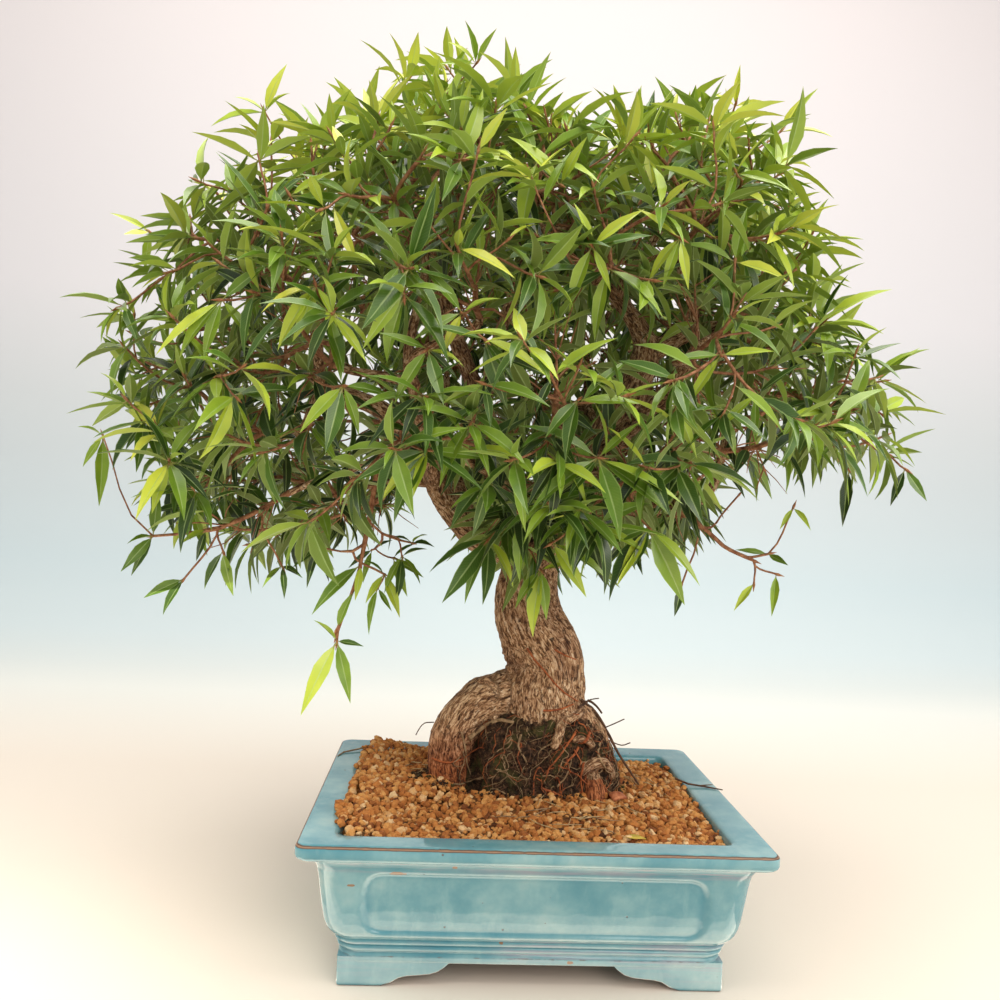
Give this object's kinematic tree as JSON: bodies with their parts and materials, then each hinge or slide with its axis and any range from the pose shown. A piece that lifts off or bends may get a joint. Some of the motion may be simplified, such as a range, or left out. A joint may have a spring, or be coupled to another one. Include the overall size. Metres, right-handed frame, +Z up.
{
  "type": "willow leaf fig bonsai in pot",
  "caption": "Small informal-upright fig tree with narrow leaves, a thick arching root and a rounded crown, in a shallow rectangular glazed pot of granules.",
  "frame": {"origin": "on the floor under the middle of the whole object's box", "axes": "+Z up, -Y towards the front of the pot, +X to the right seen from the front"},
  "size_m": [0.6806, 0.544, 0.7382],
  "materials": {
    "glazed_stoneware": "gloss",
    "volcanic_granules": "matte",
    "root_soil": "matte",
    "screen_plastic": "matte",
    "bark": "matte",
    "leaf": "satin"
  },
  "bodies": {
    "root": {"pot": "glazed_stoneware", "soil": "volcanic_granules", "root_ball": "root_soil", "drain_mesh_left": "screen_plastic", "drain_mesh_right": "screen_plastic", "trunk": "bark", "spray_01": "leaf", "spray_02": "leaf", "spray_03": "leaf", "spray_04": "leaf", "spray_05": "leaf", "spray_06": "leaf", "spray_07": "leaf", "spray_08": "leaf", "spray_09": "leaf", "spray_10": "leaf", "spray_11": "leaf", "spray_12": "leaf", "spray_13": "leaf", "spray_14": "leaf", "spray_15": "leaf", "spray_16": "leaf", "spray_17": "leaf", "spray_18": "leaf", "spray_19": "leaf", "spray_20": "leaf", "spray_21": "leaf", "spray_22": "leaf", "spray_23": "leaf", "spray_24": "leaf", "spray_25": "leaf", "spray_26": "leaf", "spray_27": "leaf", "spray_28": "leaf", "spray_29": "leaf", "spray_30": "leaf", "spray_31": "leaf", "spray_32": "leaf", "spray_33": "leaf", "spray_34": "leaf", "spray_35": "leaf", "spray_36": "leaf", "spray_37": "leaf", "spray_38": "leaf", "spray_39": "leaf", "spray_40": "leaf", "spray_41": "leaf", "spray_42": "leaf", "spray_43": "leaf"}
  },
  "joints": []
}
